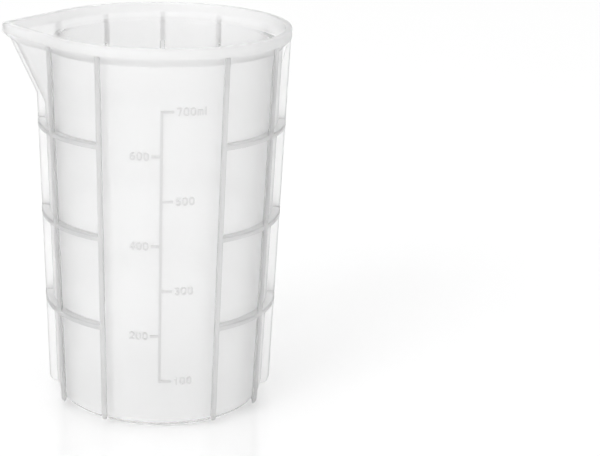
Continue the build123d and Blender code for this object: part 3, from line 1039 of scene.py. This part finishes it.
class CUP_OT_stage(bpy.types.Operator):
    """Set the floor, the lamps and the camera"""

    bl_idname = "cup.stage"
    bl_label = "Stage"

    def execute(self, context):
        scene, studio = context.scene, context.scene.cup_studio
        half = studio.floor_size / 2
        mesh = bpy.data.meshes.new("studio_floor")
        corners = [(-half, -half, 0), (half, -half, 0), (half, half, 0), (-half, half, 0)]
        mesh.from_pydata(corners, [], [(0, 1, 2, 3)])
        floor = bpy.data.objects.new("studio_floor", mesh)
        floor.location.z = -FLOOR_GAP
        scene.collection.objects.link(floor)

        # Painted board under a clear coat: white, with a soft reflection of what stands on it
        material = bpy.data.materials.new("white_studio_floor")
        material.use_nodes = True
        tree = material.node_tree
        tree.nodes.clear()
        paint = put(tree, "ShaderNodeBsdfDiffuse", inputs={"Color": linear(studio.floor_colour)})
        polish = put(
            tree, "ShaderNodeBsdfGlossy", inputs={"Color": WHITE, "Roughness": studio.gloss_roughness}
        )
        glance = put(tree, "ShaderNodeFresnel", inputs={"IOR": studio.gloss_index})
        sheet = put(
            tree,
            "ShaderNodeMixShader",
            inputs={0: glance.outputs[0], 1: paint.outputs[0], 2: polish.outputs[0]},
        )
        put(tree, "ShaderNodeOutputMaterial", inputs={"Surface": sheet.outputs[0]})
        mesh.materials.append(material)

        world = bpy.data.worlds.new("white_studio")
        world.use_nodes = True
        tree = world.node_tree
        tree.nodes.clear()
        aim = put(tree, "ShaderNodeTexCoord").outputs["Generated"]
        way = put(tree, "ShaderNodeSeparateXYZ", inputs={"Vector": aim}).outputs

        # White to the camera; the cup sees the room a little darker at its left and right
        sideways = reckon(tree, "abs(x)", x=way["X"])
        strength = reckon(
            tree,
            "1 - (1 - seen) * dark * card",
            seen=put(tree, "ShaderNodeLightPath").outputs["Is Camera Ray"],
            dark=studio.side_dark,
            card=ramp(tree, sideways, studio.side_edge, studio.side_edge + CARD_FADE),
        )
        sky = put(tree, "ShaderNodeBackground", inputs={"Color": WHITE, "Strength": strength})
        put(tree, "ShaderNodeOutputWorld", inputs={"Surface": sky.outputs[0]})
        scene.world = world

        lamp = bpy.data.lights.new("key_lamp", "AREA")
        lamp.shape, lamp.size, lamp.energy = "DISK", studio.lamp_size, studio.lamp_power
        key = bpy.data.objects.new("key_lamp", lamp)
        key.location = (-studio.lamp_side, -studio.lamp_front, studio.lamp_height)
        key.rotation_euler = (-key.location).to_track_quat("-Z", "Y").to_euler()
        scene.collection.objects.link(key)

        # Light that is caught in the rubber is followed until it leaves, without blurring
        scene.cycles.blur_glossy = 0.0
        scene.cycles.max_bounces = LIGHT_BOUNCES
        scene.cycles.transmission_bounces = scene.cycles.glossy_bounces = LIGHT_BOUNCES
        scene.cycles.diffuse_bounces = DIFFUSE_BOUNCES

        data = bpy.data.cameras.new("photo_camera")
        data.lens, data.sensor_width, data.shift_x = studio.focal_length, SENSOR, studio.frame_shift
        camera = bpy.data.objects.new("photo_camera", data)
        camera.matrix_world = (
            Matrix.Translation((0, -studio.camera_distance, studio.camera_height))
            @ Matrix.Rotation(math.pi / 2 - studio.camera_tilt, 4, "X")
            @ Matrix.Rotation(studio.camera_roll, 4, "Z")
        )
        scene.collection.objects.link(camera)
        scene.camera = camera
        scene.view_settings.view_transform = "Standard"
        return {"FINISHED"}


class CUP_PT_panel(bpy.types.Panel):
    """Lists the steps that make the cup"""

    bl_idname = "CUP_PT_panel"
    bl_label = "Mixing cup"
    bl_space_type = "VIEW_3D"
    bl_region_type = "UI"
    bl_category = "Mixing cup"

    def draw(self, context):
        for operator in OPERATORS:
            self.layout.operator(operator.bl_idname)
        for name in GROUPS:
            box = self.layout.box()
            group = getattr(context.scene, name)
            for key in group.__annotations__:
                box.prop(group, key)


GROUPS = {
    "mixing_cup": CupSizes,
    "cup_ribs": RibSizes,
    "silicone_look": SiliconeLook,
    "cup_studio": StudioSizes,
}
OPERATORS = [
    CUP_OT_shell,
    CUP_OT_ribs,
    CUP_OT_hoops,
    CUP_OT_keel,
    CUP_OT_scale,
    CUP_OT_fuse,
    CUP_OT_stage,
]


def register():
    for kind in (*GROUPS.values(), *OPERATORS, CUP_PT_panel):
        bpy.utils.register_class(kind)
    for name, group in GROUPS.items():
        setattr(bpy.types.Scene, name, PointerProperty(type=group))


def unregister():
    for name in GROUPS:
        delattr(bpy.types.Scene, name)
    for kind in reversed((*GROUPS.values(), *OPERATORS, CUP_PT_panel)):
        bpy.utils.unregister_class(kind)


def main():
    """Makes the cup and its stage."""
    register()
    for operator in OPERATORS:
        section, name = operator.bl_idname.split(".")
        if getattr(getattr(bpy.ops, section), name)() != {"FINISHED"}:
            raise RuntimeError(f"{operator.bl_label} did not finish")


if __name__ == "__main__":
    main()
